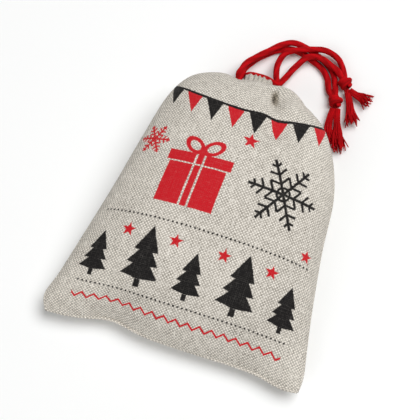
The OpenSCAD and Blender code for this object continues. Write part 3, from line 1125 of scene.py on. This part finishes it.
# The sleeve's section is places along and up from the near cord row, from its inner edge round the fold to
# its outer edge. Past a share of its width from the middle, it closes down on its inner side in a dome.
SLEEVE = [(6.6, -2.9), (3.6, -2.7), (0.0, -2.9), (-2.3, -2.3), (-3.1, 0.2), (-2.0, 2.4), (0.0, 3.1),
          (2.4, 2.8), (4.4, 2.6), (6.1, 2.6)]
SLEEVE_INNER = -2.9
SLEEVE_SHUT = 0.38
SLEEVE_SLIT = 0.02
SLEEVE_OVER = 0.3
SLEEVE_FAN = 0.10
SLEEVE_FLUTE = 0.06
SLEEVE_FRILL = 0.22
FRILL_LAG = 0.01
FOLD_STRETCH = 0.93
FOLD_LAG = 0.02
SLEEVE_STEP = 0.4
SLEEVE_COLUMNS = 84
SLEEVE_ROWS = 48
HEM_L = 24.0
LOWEST_Z = 0.5


def sleeve_place(share, y, z, along, side):
    """A casing's place at a share across it, from its section's place and how far round that lies."""
    fan = 1.0 + SLEEVE_FAN * max(0.0, along - 0.5)
    x = MOUTH_X + share * 2 * (MOUTH_HALF + SLEEVE_OVER) * fan
    frill = flute(share + FRILL_LAG) * SLEEVE_FRILL * along
    z = z * (1.0 + SLEEVE_FLUTE * flute(share) * (1.0 + along)) + frill
    shut = max(0.0, (abs(share) - SLEEVE_SHUT) / (0.5 - SLEEVE_SHUT))
    z = SLEEVE_INNER + (z - SLEEVE_INNER) * math.sqrt(max(SLEEVE_SLIT, 1 - shut * shut))
    y = y * (1.0 + SLEEVE_FLUTE * flute(share * FOLD_STRETCH + FOLD_LAG))
    height = casing_height(side, share * 2 * MOUTH_HALF) + side * z
    return Vector((x, NEAR_ROW_Y + y, max(LOWEST_Z, height))) * MM


def sleeve_piece(node, side, body):
    section = smooth_path([(0, y, z) for y, z in SLEEVE], SLEEVE_STEP)
    gone = np.linspace(0, 1, len(section))
    bm = bmesh.new()
    layer = pattern_layer(bm)
    verts = bmesh.ops.create_grid(
        bm, x_segments=SLEEVE_COLUMNS, y_segments=SLEEVE_ROWS, size=0.5, calc_uvs=True)["verts"]
    for vert in verts:
        along = vert.co.y + 0.5
        y = np.interp(along, gone, section[:, 1])
        z = np.interp(along, gone, section[:, 2])
        vert.co = sleeve_place(vert.co.x, y, z, along, side)
    for face in bm.faces:
        for loop in face.loops:
            u, v = loop[layer].uv
            loop[layer].uv = ((u - 0.5) * FLAT_W * MM, (FLAT_L + v * HEM_L) * MM)
    piece = cloth_piece(bm, node + "_gathers", PLAIN_LINEN, side)
    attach(piece, body)
    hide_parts(node)


sleeve_piece("front_casing", 1, "front_lip")
sleeve_piece("back_casing", -1, "sack")


# Stitches: short arched threads in a row along each casing
STITCHES = 13
STITCH_Y = 1.0
STITCH_RAISE = 3.2
STITCH_FLUTE = 0.5
STITCH_HALF = 0.7
STITCH_DIP = 0.4
STITCH_R = 0.25 * MM
STITCH_STEP = 0.3 * MM
STITCH_SIDES = 6


def stitch_piece(node, side, body):
    bm = bmesh.new()
    for k in range(STITCHES):
        share = (k + 0.5) / STITCHES - 0.5
        x = share * 2 * MOUTH_HALF
        z = max(LOWEST_Z, casing_height(side, x) + side * (STITCH_RAISE + STITCH_FLUTE * flute(share)))
        arched = [(step, z - side * STITCH_DIP * abs(step)) for step in (-STITCH_HALF, 0, STITCH_HALF)]
        points = route(*((MOUTH_X + x + step, NEAR_ROW_Y + STITCH_Y, height) for step, height in arched))
        add_tube(bm, smooth_path(points, STITCH_STEP), steady(STITCH_R), STITCH_SIDES)
    piece = piece_from(bm, node + "_row", CREAM_THREAD)
    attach(piece, body)
    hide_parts(node)


stitch_piece("front_casing_stitch", 1, "front_lip")
stitch_piece("back_casing_stitch", -1, "sack")


# Floor, light and background
FLOOR_WHITE = (0.94, 0.945, 0.94, 1)
FLOOR_LIFT = 0.045
FLOOR_HALF = 6.0
WORLD_STRENGTH = 0.12
KEY_PLACE = Vector((0.60, 0.54, 1.68))
KEY_SIZE = 1.75
KEY_POWER = 33.6
FILL_PLACE = Vector((-0.675, -1.35, 1.05))
FILL_SIZE = 1.6
FILL_POWER = 12.0


def make_floor():
    """A pale floor that keeps its shadows, and that the camera sees a little lifted towards white."""
    bm = bmesh.new()
    bmesh.ops.create_grid(bm, x_segments=1, y_segments=1, size=FLOOR_HALF)
    finish = Finish("white_floor")
    paper = finish.add("ShaderNodeBsdfDiffuse", None, {"Color": FLOOR_WHITE})
    glow = finish.add("ShaderNodeEmission", None, {"Color": WHITE, "Strength": FLOOR_LIFT})
    lifted = finish.add("ShaderNodeAddShader", None, [paper, glow])
    seen = finish.add("ShaderNodeLightPath", output="Is Camera Ray")
    finish.end(finish.add("ShaderNodeMixShader", None, [seen, paper, lifted]))
    piece_from(bm, "floor", finish.material)


def make_world():
    """Even light from all round, behind which the camera sees white."""
    sky = Finish("studio", bpy.data.worlds)
    light = sky.add("ShaderNodeBackground", None, {"Color": WHITE, "Strength": WORLD_STRENGTH})
    white = sky.add("ShaderNodeBackground", None, {"Color": WHITE, "Strength": 1.0})
    seen = sky.add("ShaderNodeLightPath", output="Is Camera Ray")
    sky.end(sky.add("ShaderNodeMixShader", None, [seen, light, white]), "ShaderNodeOutputWorld")
    scene.world = sky.material


def make_lamp(name, place, size, power):
    """A round soft lamp that faces the sack."""
    data = bpy.data.lights.new(name, "AREA")
    data.shape = "DISK"
    data.size = size
    data.energy = power
    lamp = bpy.data.objects.new(name, data)
    lamp.location = place
    lamp.rotation_euler = (-place).to_track_quat("-Z", "Y").to_euler()
    scene.collection.objects.link(lamp)


make_floor()
make_world()
make_lamp("key_lamp", KEY_PLACE, KEY_SIZE, KEY_POWER)
make_lamp("fill_lamp", FILL_PLACE, FILL_SIZE, FILL_POWER)
scene.view_settings.view_transform = "Standard"
